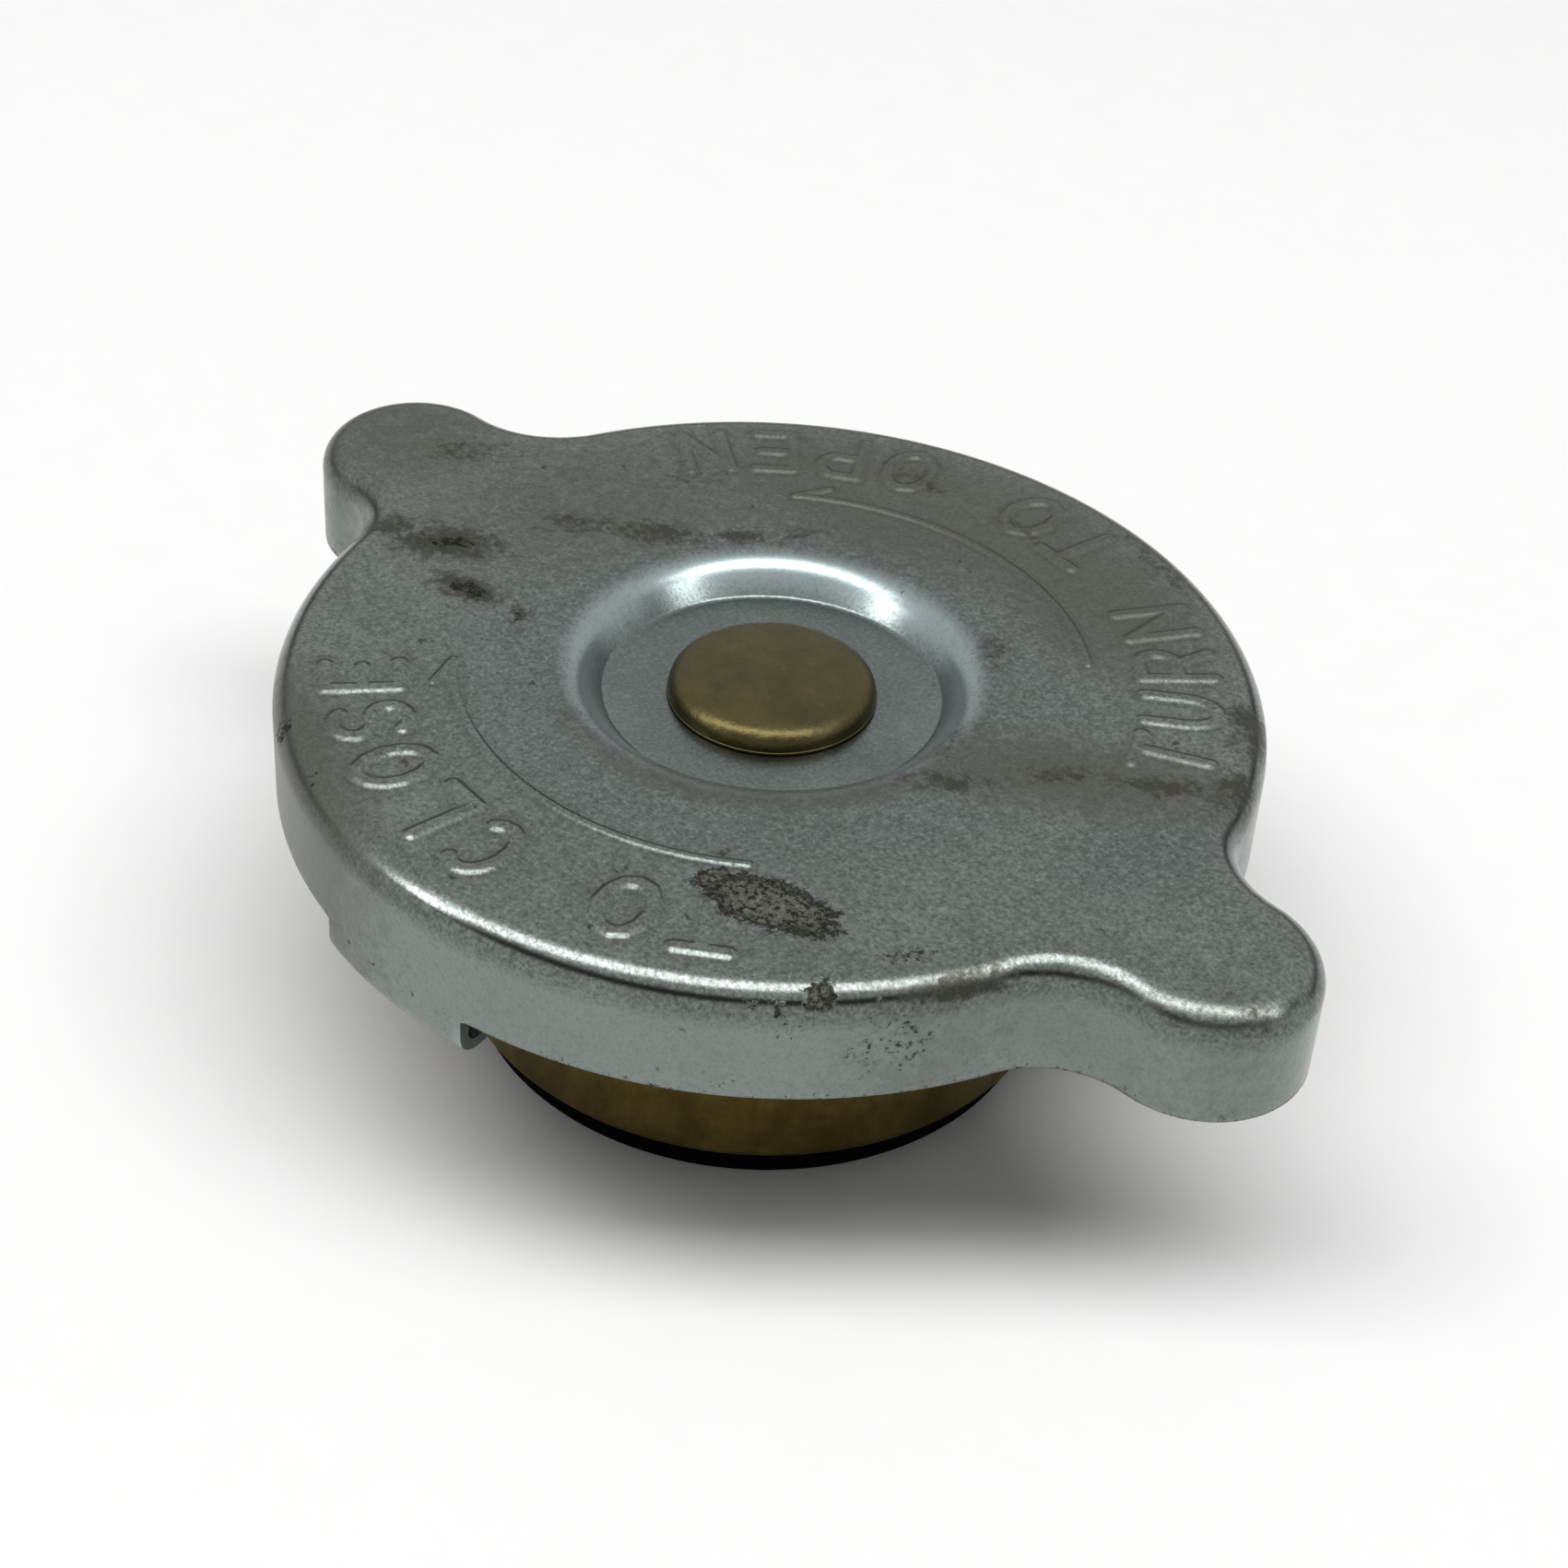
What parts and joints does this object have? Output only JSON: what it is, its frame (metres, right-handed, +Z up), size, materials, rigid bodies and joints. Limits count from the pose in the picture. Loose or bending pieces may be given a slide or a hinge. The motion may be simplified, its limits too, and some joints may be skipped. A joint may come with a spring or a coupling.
{
  "type": "radiator cap",
  "caption": "Pressure cap for a radiator filler neck: pressed steel shell with grip ears and locking lugs, brass spring bell, rubber seal and a sprung vacuum valve.",
  "frame": {"origin": "under the middle of the rubber seal, on the plane that the cap stands on", "axes": "+X along the grip ears, +Z up along the cap's axis, from the seal to the top face"},
  "size_m": [0.0766, 0.057, 0.0234],
  "materials": {
    "plated_shell": "worn satin zinc plating with brown stains",
    "rivet_brass": "dull brass with a worn bright edge",
    "washer_steel": "satin steel",
    "spring_steel": "smooth spring steel",
    "bell_brass": "dark tarnished brass with streaks",
    "valve_brass": "dull brass",
    "seal_rubber": "matt black rubber"
  },
  "bodies": {
    "cap": {"cap_shell": "plated_shell"},
    "spring_housing": {"rivet": "rivet_brass", "rivet_washer": "washer_steel", "sealing_disc": "spring_steel", "bell": "bell_brass", "pressure_spring": "spring_steel"},
    "pressure_valve": {"valve_plate": "valve_brass", "pressure_seal": "seal_rubber", "vacuum_spring": "spring_steel"},
    "vacuum_valve": {"vacuum_disc": "valve_brass", "vacuum_stem": "valve_brass", "spring_keeper": "valve_brass"}
  },
  "joints": [
    {"name": "cap_swivel", "type": "hinge", "parent": "cap", "child": "spring_housing", "pos_m": [0, 0, 0.021], "axis": [0, 0, 1], "continuous": true},
    {"name": "pressure_valve_lift", "type": "slide", "parent": "spring_housing", "child": "pressure_valve", "axis": [0, 0, 1], "range_m": [0, 0.005], "stiffness_N_per_m": 400, "springref_m": -0.004, "deforming": ["pressure_spring"]},
    {"name": "vacuum_valve_drop", "type": "slide", "parent": "pressure_valve", "child": "vacuum_valve", "axis": [0, 0, -1], "range_m": [0, 0.0012], "stiffness_N_per_m": 60, "springref_m": -0.0015, "deforming": ["vacuum_spring"]}
  ]
}
